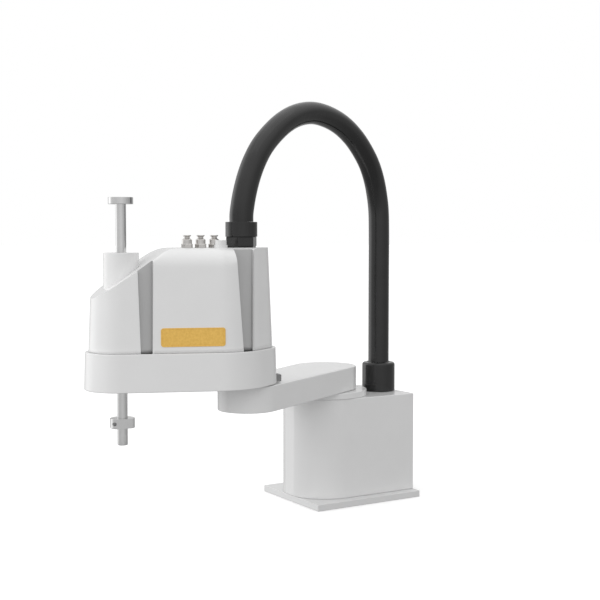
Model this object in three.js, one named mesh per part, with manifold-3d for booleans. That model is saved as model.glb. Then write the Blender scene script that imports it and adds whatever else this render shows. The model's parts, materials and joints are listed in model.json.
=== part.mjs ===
// A four-axis SCARA robot arm, 600 mm reach: base column, inner arm, outer arm with its drives,
// and a hollow splined quill. Millimetres, +Z up, origin on the shoulder axis under the base plate.
// +X is the front of the base. The arm is modelled at rest with both elbows bent.
import * as THREE from "three";
import { mergeVertices } from "three/addons/utils/BufferGeometryUtils.js";
import Module from "manifold-3d";

const wasm = await Module();
wasm.setup();

// Arms and rest pose
const INNER_LENGTH = 350;
const OUTER_LENGTH = 250;
const SHOULDER_REST = 31.6; // degrees from +X
const OUTER_HEADING = -11.2; // degrees from +X, at rest
const GAP = 0.3; // between pieces that touch
const WALL = 4; // of the moulded cover

// Base
const PLATE = { front: 91, rear: -182, half: 116, height: 14 };
const PLATE_BOLT = { x: [70, -160], y: 101, radius: 4.2, depth: 10 };
const COLUMN = { radius: 92.6, rear: -181, front: 91, top: 232, wall: 9, roof: 14, bore: 62 };
const WINDOW = { half: 68, low: 40, high: 196, thick: 3 }; // rear opening and its panel
const FLANGE = { radius: 94.5, height: 13.2 };
const SOCKETS = [
  { name: "power_connector", y: 34, z: 150, radius: 15 },
  { name: "signal_connector", y: -20, z: 150, radius: 18 },
];
const INLETS = { across: [-40, 0, 40], z: 84, radius: 6 };
const PANEL_SCREW = { radius: 3.2, socket: 1.3, edge: 9 };
const HUB = { radius: 42, low: 197 }; // shoulder output hub
const SHOULDER_DRIVE = { radius: 61.5, low: 190, half: 40, motor: [78, 176], nose: 30 };
const ELBOW_HUB = { radius: 30, top: 334 };
const ELBOW_DRIVE = { radius: 43.8, top: 342, half: 30, motor: [356, 448], nose: 24 };

// Inner arm
const INNER = { low: 245.7, high: 297, shoulder: 70.7, elbow: 60, wall: 9, roof: 12 };
const RIB = { from: 168, to: 178 }; // across the pocket under the arm
const LID = { step: 5, thick: 3.3, boss: 4 }; // cover plate over the pocket

// Outer arm: its plan outline wraps circles on the arm's centre line, [place from the elbow, radius]
const OUTLINE = [
  [14, 70],
  [65, 105],
  [OUTER_LENGTH, 71],
];
const TRAY = { low: 298.5, high: 369.8, draft: 2.2, floor: 12, wall: 9 };
const COVER = { low: 370.1, high: 565, step: 8.6, draft: 0.0415 }; // draft: inset per mm of height
const ROOF = { start: 528, radius: 37, half: 52.8, bend: 73, taper: 10.6 }; // rounded long edges of the cover
const SLOPE = { run: 186, rise: 553.6, grade: 0.68, blend: 150 }; // nose slope and where it meets the roof
const GROOVES = [
  { low: [207, 228.5, 61.5], high: [203, 233, 53] }, // front: [from, to, floor] at the cover's ends
  { low: [17, 37.5, 77], high: [12.5, 50, 67] }, // rear
];
const LUG = { from: -67, to: -53, half: 10, low: 299, high: 313 }; // stop at the elbow

// Quill and what drives it
const QUILL = { radius: 10, bore: 5.5, low: 191, high: 660 };
const FLAT = { across: 8.6, low: 198, high: 212 }; // on the shaft near its tip
const UPPER_COLLAR = { radius: 23.5, low: 647, high: 660 };
const LOWER_COLLAR = { radius: 23.7, low: 224.2, high: 242.6, slot: 2, face: 17 };
const CLAMP_SCREW = { along: 18, radius: 3, hole: 3.4, socket: 1.4 };
const SLEEVE = { radius: 33.7, inner: 26, top: 556, lid: 6 };
const SPLINE = { radius: 19, low: 304, high: 350 };
const BALL = { radius: 19, low: 400.5, high: 446 };
const BEARING = { radius: 25.6, low: 300, high: 348 };
const HOUSING = { radius: 42, inner: 35, ring: 8, open: 8 }; // carries the ball nut
const PULLEY = { quill: 28, motor: 15, width: 13, flange: 2 };
const BELT = { gap: 0.4, thick: 2 };
const SPLINE_BELT = 351; // height of the lower edge of each belt
const BALL_BELT = 383;
const TURN_MOTOR = { place: [150, 36], low: 372, height: 86 };
const LIFT_MOTOR = { place: [104, -36], low: 404, height: 78 };
const MOTOR = { half: 26, shaft: 5, hole: 9 };
const SHELF = { thick: 4, leg: 5 }; // of each motor's bracket
const BRAKE = { radius: 22, height: 22 };

// Conduit between the two glands, and the glands
const CONDUIT_RADIUS = 23.5;
const BASE_GLAND = { place: [-143, 8], radius: 37.4, top: 298, round: 6, stem: 23, reach: 30 };
const ARM_GLAND = { along: 12.6, radius: 31.2, mid: 585.5, top: 614.6, stem: 22, reach: 24 };
// Centre line as [distance from the base gland towards the arm gland, height]
const ROUTE = [
  [0, BASE_GLAND.top + GAP],
  [0, 400],
  [0, 500],
  [0, 600],
  [2, 645],
  [7, 672],
  [20, 712],
  [40, 747],
  [69, 778],
  [104, 805],
  [150, 828],
  [205, 842],
  [258, 845],
  [310, 835],
  [352, 817],
  [390, 792],
  [422, 764],
  [446, 733],
  [463, 702],
  [475, 671],
  [482, 645],
  [485, 628],
  [485, ARM_GLAND.top + GAP],
];
const SPLIT = 13; // the route point where the arch ends and the drop to the arm gland starts
const SPLIT_GAP = 0.005; // route steps left open on each side of it

const FITTINGS = {
  along: [127.3, 100.6, 73.8],
  across: 20,
  hex: 11.5,
  profile: [
    [9, 5],
    [9, 14],
    [5.2, 16],
    [5.2, 19],
    [7.2, 23.6],
  ], // [radius, height] above the hexagon
  bore: 3,
  depth: 12,
  stem: 4.4,
};
const BUTTON = { along: 68, across: 46, radius: 11, bezel: 12.8, top: 579.5, travel: 3, stem: 4 };

const material = (color, roughness, metalness) =>
  new THREE.MeshStandardMaterial({ color, roughness, metalness });
const PAINT = material(0xe9e9ea, 0.45, 0);
const SHADE_PAINT = material(0xd6d7d8, 0.5, 0);
const STEEL = material(0xc4c6c9, 0.22, 1);
const NICKEL = material(0xb9b4a8, 0.25, 1);
const BLACK = material(0x161616, 0.3, 0);
const RUBBER = material(0x232323, 0.7, 0);
const CASE = material(0x3b3d40, 0.6, 0.2);
const ALLOY = material(0x9fa3a8, 0.4, 0.9);
const PANEL = material(0x8f9296, 0.5, 0.4);

const root = new THREE.Group();
const inner = new THREE.Group();
inner.rotation.z = THREE.MathUtils.degToRad(SHOULDER_REST);
const outer = new THREE.Group();
outer.position.set(INNER_LENGTH, 0, 0).applyEuler(inner.rotation);
outer.rotation.z = THREE.MathUtils.degToRad(OUTER_HEADING);
root.add(inner, outer);

// ---- solids ----

function solid(geometry) {
  const bare = geometry.clone();
  bare.deleteAttribute("normal");
  bare.deleteAttribute("uv");
  const merged = mergeVertices(bare, 1e-4);
  return new wasm.Manifold(
    new wasm.Mesh({
      numProp: 3,
      vertProperties: merged.attributes.position.array,
      triVerts: new Uint32Array(merged.index.array),
    }),
  );
}

function mesh(name, shape, finish, group = root) {
  const { vertProperties, triVerts } = shape.getMesh();
  const geometry = new THREE.BufferGeometry()
    .setAttribute("position", new THREE.BufferAttribute(vertProperties, 3))
    .setIndex(new THREE.BufferAttribute(triVerts, 1));
  geometry.computeVertexNormals();
  const made = new THREE.Mesh(geometry, finish);
  made.name = name;
  group.add(made);
  return made;
}

const union = (...parts) => parts.reduce((sum, part) => sum.add(part));
const cut = (body, ...tools) => tools.reduce((rest, tool) => rest.subtract(tool), body);

/** A straight prism of a plan outline, from height low to high. */
function prism(points, low, high) {
  const shape = new THREE.Shape(points.map(([x, y]) => new THREE.Vector2(x, y)));
  const geometry = new THREE.ExtrudeGeometry(shape, { depth: high - low, bevelEnabled: false });
  return solid(geometry.translate(0, 0, low));
}

/** A box between two corners. */
function block([x0, y0, z0], [x1, y1, z1]) {
  const geometry = new THREE.BoxGeometry(x1 - x0, y1 - y0, z1 - z0);
  return solid(geometry.translate((x0 + x1) / 2, (y0 + y1) / 2, (z0 + z1) / 2));
}

/** An upright cylinder at [x, y]. */
function disc(radius, low, high, [x, y] = [0, 0], sides = 32) {
  const geometry = new THREE.CylinderGeometry(radius, radius, high - low, sides);
  return solid(geometry.rotateX(Math.PI / 2).translate(x, y, (low + high) / 2));
}

const tube = (radius, bore, low, high, place, sides = 32) =>
  cut(disc(radius, low, high, place, sides), disc(bore, low - 1, high + 1, place, sides));

/** A solid turned about an upright axis at [x, y], from [radius, height] points going up. */
function turned(profile, [x, y] = [0, 0], sides = 32) {
  const points = profile.map(([radius, height]) => new THREE.Vector2(radius, height));
  const geometry = new THREE.LatheGeometry(points, sides).rotateX(Math.PI / 2);
  return solid(geometry.translate(x, y, 0));
}

/** A cylinder lying along +X or +Y, centred on a point. */
function rod(radius, length, axis, [x, y, z], sides = 20) {
  const geometry = new THREE.CylinderGeometry(radius, radius, length, sides);
  if (axis === "x") geometry.rotateZ(Math.PI / 2);
  return solid(geometry.translate(x, y, z));
}

/** Stacked plan outlines with the same number of points, closed top and bottom. */
function loft(sections) {
  const count = sections[0].points.length;
  const positions = sections.flatMap(({ points, z }) => points.flatMap(([x, y]) => [x, y, z]));
  const flat = sections[0].points.map(([x, y]) => new THREE.Vector2(x, y));
  const cap = THREE.ShapeUtils.triangulateShape(flat, []);
  const top = (sections.length - 1) * count;
  const index = [];
  for (const [a, b, c] of cap) index.push(a, c, b, top + a, top + b, top + c);
  for (let level = 0; level < sections.length - 1; level++) {
    for (let i = 0; i < count; i++) {
      const next = (i + 1) % count;
      const low = level * count;
      const high = low + count;
      index.push(low + i, low + next, high + next, low + i, high + next, high + i);
    }
  }
  const geometry = new THREE.BufferGeometry()
    .setAttribute("position", new THREE.Float32BufferAttribute(positions, 3))
    .setIndex(index);
  return solid(geometry);
}

/** The outline that wraps a row of circles on the X axis, each shrunk by inset. */
function wrap(circles, inset = 0, step = 10) {
  const touch = [];
  for (let i = 0; i < circles.length - 1; i++) {
    const [xa, ra] = circles[i];
    const [xb, rb] = circles[i + 1];
    touch.push(Math.acos((ra - rb) / (xb - xa)));
  }
  const points = [];
  const arc = ([x, radius], from, to) => {
    const steps = Math.max(2, Math.round(THREE.MathUtils.radToDeg(to - from) / step));
    for (let i = 0; i <= steps; i++) {
      const angle = from + ((to - from) * i) / steps;
      const r = radius - inset;
      points.push([x + r * Math.cos(angle), r * Math.sin(angle)]);
    }
  };
  const last = circles.length - 1;
  arc(circles[last], -touch[last - 1], touch[last - 1]);
  for (let i = last - 1; i > 0; i--) arc(circles[i], touch[i], touch[i - 1]);
  arc(circles[0], touch[0], 2 * Math.PI - touch[0]);
  for (let i = 1; i < last; i++) {
    arc(circles[i], 2 * Math.PI - touch[i - 1], 2 * Math.PI - touch[i]);
  }
  return points;
}

/** A belt loop of one width round two circles, [x, y, radius] each. */
function belt([xa, ya, ra], [xb, yb, rb], low, width) {
  const { gap, thick } = BELT;
  const span = Math.hypot(xb - xa, yb - ya);
  const loop = (extra) =>
    prism(wrap([[0, ra + extra], [span, rb + extra]], 0, 15), low, low + width);
  const bore = wrap([[0, ra + gap], [span, rb + gap]], 0, 15);
  const ring = cut(loop(gap + thick), prism(bore, low - 1, low + width + 1));
  const heading = THREE.MathUtils.radToDeg(Math.atan2(yb - ya, xb - xa));
  return ring.rotate([0, 0, heading]).translate([xa, ya, 0]);
}

// ---- base ----

/** Column plan: a round nose, cut flat at the front, with straight sides to a square rear. */
function columnPlan(inset) {
  const radius = COLUMN.radius - inset;
  const front = COLUMN.front - inset;
  const half = Math.acos(front / radius);
  const steps = 14;
  const points = [[COLUMN.rear + inset, -radius]];
  for (const side of [-1, 1]) {
    for (let i = 0; i <= steps; i++) {
      const share = side < 0 ? 1 - i / steps : i / steps;
      const angle = side * (half + (Math.PI / 2 - half) * share);
      points.push([radius * Math.cos(angle), radius * Math.sin(angle)]);
    }
  }
  points.push([COLUMN.rear + inset, radius]);
  return points;
}

function base() {
  const plate = block([PLATE.rear, -PLATE.half, 0], [PLATE.front, PLATE.half, PLATE.height]);
  const holes = PLATE_BOLT.x.flatMap((x) =>
    [-1, 1].map((side) =>
      disc(PLATE_BOLT.radius, -1, PLATE_BOLT.depth, [x, side * PLATE_BOLT.y], 16),
    ),
  );
  mesh("base_plate", cut(plate, ...holes), PAINT);

  const floor = PLATE.height + GAP;
  const roof = COLUMN.top - COLUMN.roof;
  const { half, low, high } = WINDOW;
  const shell = cut(
    prism(columnPlan(0), floor, COLUMN.top),
    prism(columnPlan(COLUMN.wall), floor - 1, roof),
    disc(COLUMN.bore, roof - 1, COLUMN.top + 1),
    disc(BASE_GLAND.stem + 1, roof - 1, COLUMN.top + 1, BASE_GLAND.place),
    block([COLUMN.rear - 1, -half, low], [COLUMN.rear + 2 * COLUMN.wall, half, high]),
  );
  mesh("base_column", shell, PAINT);
  rearPanel();

  const drive = SHOULDER_DRIVE;
  const bore = HUB.radius + GAP;
  mesh("shoulder_reducer", tube(drive.radius, bore, drive.low, COLUMN.top), ALLOY);
  mesh("shoulder_motor", driveMotor(drive, drive.low - GAP), CASE);
  const flange = tube(FLANGE.radius, bore, COLUMN.top + GAP, COLUMN.top + FLANGE.height, [0, 0], 48);
  mesh("shoulder_flange", flange, PAINT);
}

/** A square motor case with a round nose that reaches up or down to a height. */
function driveMotor({ half, motor: [low, high], nose }, to) {
  const body = block([-half, -half, low], [half, half, high]);
  return union(body, to > high ? disc(nose, high - 1, to) : disc(nose, to, low + 1));
}

function rearPanel() {
  const face = COLUMN.rear;
  const edge = 0.4;
  const panel = block(
    [face + 0.5, -WINDOW.half + edge, WINDOW.low + edge],
    [face + 0.5 + WINDOW.thick, WINDOW.half - edge, WINDOW.high - edge],
  );
  const inlets = INLETS.across.map((y, i) => ({ ...INLETS, name: `air_inlet_${i + 1}`, y }));
  const screws = [];
  for (const side of [-1, 1]) {
    for (const z of [WINDOW.low + PANEL_SCREW.edge, WINDOW.high - PANEL_SCREW.edge]) {
      screws.push([side * (WINDOW.half - PANEL_SCREW.edge), z]);
    }
  }
  const through = [...SOCKETS, ...inlets].map(({ y, z, radius }) =>
    rod(radius * 0.7 + GAP, 20, "x", [face, y, z]),
  );
  mesh("rear_panel", cut(panel, ...through), PANEL);
  for (const { name, y, z, radius } of SOCKETS) {
    const shell = union(
      rod(radius * 0.7, 24, "x", [face + 6, y, z]),
      rod(radius, 8, "x", [face - 3.8, y, z]),
    );
    const mouth = rod(radius * 0.6, 10, "x", [face - 7, y, z]);
    mesh(name, cut(shell, mouth), CASE);
  }
  for (const { name, y, z, radius } of inlets) {
    const body = union(
      rod(radius * 0.7, 22, "x", [face + 4, y, z]),
      rod(radius * 1.25, 5, "x", [face - 2.3, y, z], 6),
      rod(radius * 0.95, 12, "x", [face - 9, y, z]),
    );
    mesh(name, cut(body, rod(radius * 0.5, 14, "x", [face - 12, y, z])), NICKEL);
  }
  screws.forEach(([y, z], i) => {
    const head = rod(PANEL_SCREW.radius, 2.4, "x", [face - 0.9, y, z], 16);
    const socket = rod(PANEL_SCREW.socket, 2, "x", [face - 2.2, y, z], 6);
    mesh(`panel_screw_${i + 1}`, cut(head, socket), STEEL);
  });
}

// ---- glands and conduit ----

/** A point of the conduit's route in space, from its distance along the plane and its height. */
function routePoint([along, height]) {
  const start = new THREE.Vector2(...BASE_GLAND.place);
  const offset = new THREE.Vector3(ARM_GLAND.along, 0, 0).applyEuler(outer.rotation);
  const end = new THREE.Vector2(outer.position.x + offset.x, outer.position.y + offset.y);
  const way = end.sub(start).normalize();
  return new THREE.Vector3(start.x + way.x * along, start.y + way.y * along, height);
}

/** A stretch of another curve, between two of that curve's parameters. */
class Stretch extends THREE.Curve {
  constructor(whole, from, to) {
    super();
    Object.assign(this, { whole, from, to });
  }

  getPoint(t, target = new THREE.Vector3()) {
    return this.whole.getPoint(this.from + (this.to - this.from) * t, target);
  }
}

function conduit(name, from, to, steps) {
  const whole = new THREE.CatmullRomCurve3(ROUTE.map(routePoint), false, "centripetal");
  const path = new Stretch(whole, from / (ROUTE.length - 1), to / (ROUTE.length - 1));
  const section = new THREE.Shape();
  const sides = 12;
  for (let i = 0; i < sides; i++) {
    const angle = (2 * Math.PI * i) / sides;
    const place = [CONDUIT_RADIUS * Math.cos(angle), CONDUIT_RADIUS * Math.sin(angle)];
    if (i === 0) section.moveTo(...place);
    else section.lineTo(...place);
  }
  mesh(name, solid(new THREE.ExtrudeGeometry(section, { steps, extrudePath: path })), BLACK);
}

/** A hexagon locknut on a gland's stem. */
function locknut(radius, stem, low, height, place) {
  return cut(disc(radius, low, low + height, place, 6), disc(stem + 0.4, low - 1, low + height + 1, place));
}

function glands() {
  const { place, radius, top, round, stem, reach } = BASE_GLAND;
  const seat = COLUMN.top + GAP;
  const profile = [
    [0, seat],
    [radius - 1, seat],
    [radius, seat + 1],
    [radius, top - round],
    [radius - 0.3 * round, top - 0.3 * round],
    [radius - round, top],
    [0, top],
  ];
  const neck = disc(stem, COLUMN.top - reach, seat + 1, place);
  mesh("base_gland", union(turned(profile, place, 32), neck), BLACK);
  mesh("base_gland_locknut", locknut(32, stem, COLUMN.top - COLUMN.roof - 12, 8, place), BLACK);

  const low = COVER.high + GAP;
  // The hexagon's corners lie on the arm's centre line.
  const hex = disc(ARM_GLAND.radius, low, ARM_GLAND.mid, [0, 0], 6).rotate([0, 0, 30]);
  const body = union(hex, disc(ARM_GLAND.stem, COVER.high - ARM_GLAND.reach, low + 1));
  mesh("arm_gland_body", body.translate([ARM_GLAND.along, 0, 0]), BLACK, outer);
  const on = [ARM_GLAND.along, 0];
  const cap = disc(ARM_GLAND.radius, ARM_GLAND.mid + GAP, ARM_GLAND.top, on);
  mesh("arm_gland_nut", cap, BLACK, outer);
  mesh("arm_gland_locknut", locknut(28, ARM_GLAND.stem, COVER.high - 17, 7, on), BLACK, outer);
}

// ---- inner arm ----

function innerArm() {
  const plan = [
    [0, INNER.shoulder],
    [INNER_LENGTH, INNER.elbow],
  ];
  const roof = INNER.high - INNER.roof;
  const pocket = cut(
    prism(wrap(plan, INNER.wall), INNER.low - 1, roof),
    disc(INNER.shoulder, INNER.low - 2, roof + 1),
    disc(INNER.elbow, INNER.low - 2, roof + 1, [INNER_LENGTH, 0]),
    block([RIB.from, -INNER.shoulder, INNER.low - 2], [RIB.to, INNER.shoulder, roof + 1]),
  );
  // A cover plate lies in a rebate over both pockets, flush with the underside.
  const lid = (edge, low) =>
    cut(
      prism(wrap(plan, LID.step + edge), low, INNER.low + LID.thick - edge),
      disc(INNER.shoulder - LID.boss + edge, low - 1, INNER.high),
      disc(INNER.elbow - LID.boss + edge, low - 1, INNER.high, [INNER_LENGTH, 0]),
    );
  const casting = prism(wrap(plan, 0, 7.5), INNER.low, INNER.high);
  mesh("inner_arm_casting", cut(casting, pocket, lid(0, INNER.low - 1)), PAINT, inner);
  mesh("inner_arm_lid", lid(GAP, INNER.low), SHADE_PAINT, inner);
  mesh("shoulder_hub", disc(HUB.radius, HUB.low, INNER.low - GAP), ALLOY, inner);
  const elbow = disc(ELBOW_HUB.radius, INNER.high + GAP, ELBOW_HUB.top, [INNER_LENGTH, 0]);
  mesh("elbow_hub", elbow, ALLOY, inner);
}

// ---- outer arm ----

const coverInset = (z) => COVER.step + COVER.draft * (z - COVER.low);

function tray() {
  const outside = loft([
    { points: wrap(OUTLINE, 1.2, 7.5), z: TRAY.low },
    { points: wrap(OUTLINE, 0, 7.5), z: TRAY.low + 1.2 },
    { points: wrap(OUTLINE, TRAY.draft - 0.8, 7.5), z: TRAY.high - 1 },
    { points: wrap(OUTLINE, TRAY.draft + 0.4, 7.5), z: TRAY.high },
  ]);
  const inside = prism(wrap(OUTLINE, TRAY.draft + TRAY.wall), TRAY.low + TRAY.floor, TRAY.high + 1);
  const bores = [
    disc(ELBOW_HUB.radius + 4, TRAY.low - 1, TRAY.low + TRAY.floor + 1),
    disc(SLEEVE.inner, TRAY.low - 1, TRAY.low + TRAY.floor + 1, [OUTER_LENGTH, 0]),
  ];
  mesh("outer_arm_casting", cut(outside, inside, ...bores), PAINT, outer);
  const lug = block([LUG.from, -LUG.half, LUG.low], [LUG.to, LUG.half, LUG.high]);
  mesh("stop_lug", cut(lug, prism(wrap(OUTLINE, -0.4), LUG.low - 1, LUG.high + 1)), CASE, outer);
}

/** Everything above the nose slope, lowered to leave a wall of one thickness. */
function aboveSlope(wall) {
  const at = (x) => SLOPE.rise + SLOPE.grade * (SLOPE.run - x);
  const drop = wall * Math.hypot(1, SLOPE.grade);
  const top = COVER.high - wall;
  const points = [[OUTER_LENGTH + 90, at(OUTER_LENGTH + 90) - drop]];
  const steps = 6;
  const start = [SLOPE.run, SLOPE.rise - drop];
  const corner = [SLOPE.run - (COVER.high - SLOPE.rise) / SLOPE.grade, top];
  const end = [SLOPE.blend, top];
  for (let i = 0; i <= steps; i++) {
    const t = i / steps;
    const mix = (k) => (1 - t) ** 2 * start[k] + 2 * t * (1 - t) * corner[k] + t * t * end[k];
    points.push([mix(0), mix(1)]);
  }
  points.push([SLOPE.blend, COVER.high + 60], [OUTER_LENGTH + 90, COVER.high + 60]);
  const shape = new THREE.Shape(points.map(([x, z]) => new THREE.Vector2(x, z)));
  const wide = 2 * (OUTLINE[1][1] + 10);
  const geometry = new THREE.ExtrudeGeometry(shape, { depth: wide, bevelEnabled: false });
  return solid(geometry.translate(0, 0, -wide / 2).rotateX(Math.PI / 2));
}

/** A long barrel roof that rounds the cover's two long upper edges. */
function barrel(shrink) {
  const slant = Math.tan(THREE.MathUtils.degToRad(ROOF.taper));
  const { bend } = ROOF;
  const long = OUTER_LENGTH + 90 - bend;
  const plan = (half) => [
    [-90, -half],
    [bend, -half],
    [bend + long, -half + long * slant],
    [bend + long, half - long * slant],
    [bend, half],
    [-90, half],
  ];
  const wide = plan(ROOF.half + ROOF.radius + 40);
  const sections = [
    { points: wide, z: COVER.low - 60 },
    { points: wide, z: ROOF.start - shrink - 4 },
  ];
  const steps = 7;
  for (let i = 0; i <= steps; i++) {
    const angle = (Math.PI / 2) * (i / steps);
    const half = ROOF.half + ROOF.radius * Math.cos(angle) - shrink;
    sections.push({ points: plan(half), z: ROOF.start + ROOF.radius * Math.sin(angle) - shrink });
  }
  return loft(sections);
}

/** What a groove takes out of one side of the cover, with a margin all round. */
function groove({ low, high }, side, margin) {
  const outside = OUTLINE[1][1] + 35;
  const section = ([from, to, floor], z) => {
    const corners = [
      [from - margin, floor - margin],
      [to + margin, floor - margin],
      [to + margin, outside],
      [from - margin, outside],
    ];
    const points = corners.map(([x, y]) => [x, side * y]);
    return { points: side < 0 ? points.reverse() : points, z };
  };
  return loft([section(low, COVER.low - 5), section(high, COVER.high + 5)]);
}

function cover() {
  const body = (extra, top) =>
    loft([
      { points: wrap(OUTLINE, coverInset(COVER.low) + extra, 9), z: COVER.low - (extra ? 5 : 0) },
      { points: wrap(OUTLINE, coverInset(top) + extra, 9), z: top },
    ]);
  const channels = (margin) =>
    GROOVES.flatMap((one) => [-1, 1].map((side) => groove(one, side, margin)));
  const outside = cut(
    body(0, COVER.high).intersect(barrel(0)),
    aboveSlope(0),
    ...channels(0),
  );
  const inside = cut(
    body(WALL, COVER.high - WALL).intersect(barrel(WALL)),
    aboveSlope(WALL),
    ...channels(WALL),
  );
  const openings = [
    disc(SLEEVE.radius + 0.5, COVER.low + 40, COVER.high + 10, [OUTER_LENGTH, 0]),
    disc(ARM_GLAND.stem + 0.5, COVER.high - 10, COVER.high + 5, [ARM_GLAND.along, 0]),
    disc(6.5, COVER.high - 10, COVER.high + 5, [BUTTON.along, BUTTON.across], 20),
    ...FITTINGS.along.map((x) => disc(5, COVER.high - 10, COVER.high + 5, [x, FITTINGS.across], 16)),
  ];
  mesh("outer_arm_cover", cut(outside, inside, ...openings), PAINT, outer);
}

function elbowDrive() {
  const floor = TRAY.low + TRAY.floor;
  const { radius, top } = ELBOW_DRIVE;
  mesh("elbow_reducer", tube(radius, ELBOW_HUB.radius + GAP, floor + GAP, top), ALLOY, outer);
  mesh("elbow_motor", driveMotor(ELBOW_DRIVE, top + GAP), CASE, outer);
}

function motorDrive(name, { place: [x, y], low, height }, beltLow) {
  const { half } = MOTOR;
  const top = beltLow + PULLEY.width;
  const shaft = disc(MOTOR.shaft, top + GAP, low + 1, [x, y], 16);
  const body = block([x - half, y - half, low], [x + half, y + half, low + height]);
  mesh(`${name}_motor`, union(body, shaft), CASE, outer);

  // The bracket is a shelf under the motor with one leg, on the side away from the quill's line.
  const floor = TRAY.low + TRAY.floor + GAP;
  const side = Math.sign(y);
  const edges = [y + side * (half - SHELF.leg), y + side * half];
  const shelfTop = low - GAP;
  const shelf = block([x - half, y - half, shelfTop - SHELF.thick], [x + half, y + half, shelfTop]);
  const leg = block([x - half, Math.min(...edges), floor], [x + half, Math.max(...edges), low - 2]);
  const frame = cut(union(shelf, leg), disc(MOTOR.hole, floor, low + 1, [x, y], 20));
  mesh(`${name}_bracket`, frame, ALLOY, outer);

  const rim = PULLEY.motor + PULLEY.flange;
  const profile = [
    [0, beltLow - 1],
    [rim, beltLow - 1],
    [rim, beltLow - GAP],
    [PULLEY.motor, beltLow - GAP],
    [PULLEY.motor, top],
    [0, top],
  ];
  mesh(`${name}_motor_pulley`, turned(profile, [x, y], 24), ALLOY, outer);
  const loop = belt([x, y, PULLEY.motor], [OUTER_LENGTH, 0, PULLEY.quill], beltLow, PULLEY.width);
  mesh(`${name}_belt`, loop, RUBBER, outer);
}

function quillDrive() {
  motorDrive("turn", TURN_MOTOR, SPLINE_BELT);
  motorDrive("lift", LIFT_MOTOR, BALL_BELT);
  const brakeLow = LIFT_MOTOR.low + LIFT_MOTOR.height + GAP;
  const brake = disc(BRAKE.radius, brakeLow, brakeLow + BRAKE.height, LIFT_MOTOR.place, 24);
  mesh("lift_brake", brake, ALLOY, outer);

  const axis = [OUTER_LENGTH, 0];
  const bore = QUILL.radius + GAP;
  mesh("spline_nut", tube(SPLINE.radius, bore, SPLINE.low, SPLINE.high, axis), STEEL, outer);
  mesh("ball_nut", tube(BALL.radius, bore, BALL.low, BALL.high, axis), STEEL, outer);
  for (const [name, low] of [["spline", SPLINE.high + GAP], ["ball", BALL_BELT]]) {
    const high = (name === "ball" ? BALL_BELT : SPLINE_BELT) + PULLEY.width;
    mesh(`${name}_pulley`, tube(PULLEY.quill, bore, low, high, axis), ALLOY, outer);
  }
  const seat = SPLINE.radius + GAP;
  mesh("spline_bearing", tube(BEARING.radius, seat, BEARING.low, BEARING.high, axis), ALLOY, outer);

  // A half-round wall carries the ball nut's ring above both pulleys.
  const floor = TRAY.low + TRAY.floor + GAP;
  const { radius, inner: hollow, ring, open } = HOUSING;
  const opening = block(
    [OUTER_LENGTH - radius - 1, -radius - 1, floor - 1],
    [OUTER_LENGTH + open, radius + 1, BALL.low],
  );
  const wall = cut(tube(radius, hollow, floor, BALL.low + 1, axis), opening);
  const collar = tube(radius, BALL.radius + GAP, BALL.low, BALL.low + ring, axis);
  mesh("quill_housing", union(wall, collar), ALLOY, outer);
  const lid = SLEEVE.top - SLEEVE.lid;
  const low = BALL.low + ring + GAP;
  const sleeve = cut(
    disc(SLEEVE.radius, low, SLEEVE.top, axis, 48),
    disc(SLEEVE.inner, low - 1, lid, axis),
    disc(QUILL.radius + 1, lid - 1, SLEEVE.top + 1, axis),
  );
  mesh("quill_sleeve", sleeve, PAINT, outer);
}

function quill() {
  const axis = [OUTER_LENGTH, 0];
  const reach = QUILL.radius + 2;
  const flat = block(
    [OUTER_LENGTH - reach, FLAT.across, FLAT.low],
    [OUTER_LENGTH + reach, reach, FLAT.high],
  );
  const shaft = tube(QUILL.radius, QUILL.bore, QUILL.low, QUILL.high, axis, 40);
  mesh("quill_shaft", cut(shaft, flat), STEEL, outer);
  const bore = QUILL.radius + GAP;
  const stop = tube(UPPER_COLLAR.radius, bore, UPPER_COLLAR.low, UPPER_COLLAR.high, axis);
  mesh("upper_collar", stop, STEEL, outer);

  // The lower collar is a clamp: split on one side, with a screw across the slot.
  const { radius, low, high, slot, face } = LOWER_COLLAR;
  const mid = (low + high) / 2;
  const edge = radius + 5;
  const split = block([OUTER_LENGTH, -slot / 2, low - 1], [OUTER_LENGTH + edge, slot / 2, high + 1]);
  const side = block([OUTER_LENGTH - edge, face, low - 1], [OUTER_LENGTH + edge, edge, high + 1]);
  const x = OUTER_LENGTH + CLAMP_SCREW.along;
  const hole = rod(CLAMP_SCREW.hole, 60, "y", [x, 8, mid]);
  mesh("lower_collar", cut(tube(radius, bore, low, high, axis), split, side, hole), STEEL, outer);
  const screw = cut(
    rod(CLAMP_SCREW.radius, 24, "y", [x, 1, mid], 16),
    rod(CLAMP_SCREW.socket, 6, "y", [x, 13, mid], 6),
  );
  mesh("lower_collar_screw", screw, CASE, outer);
}

// ---- fittings on the roof of the outer arm ----

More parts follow.
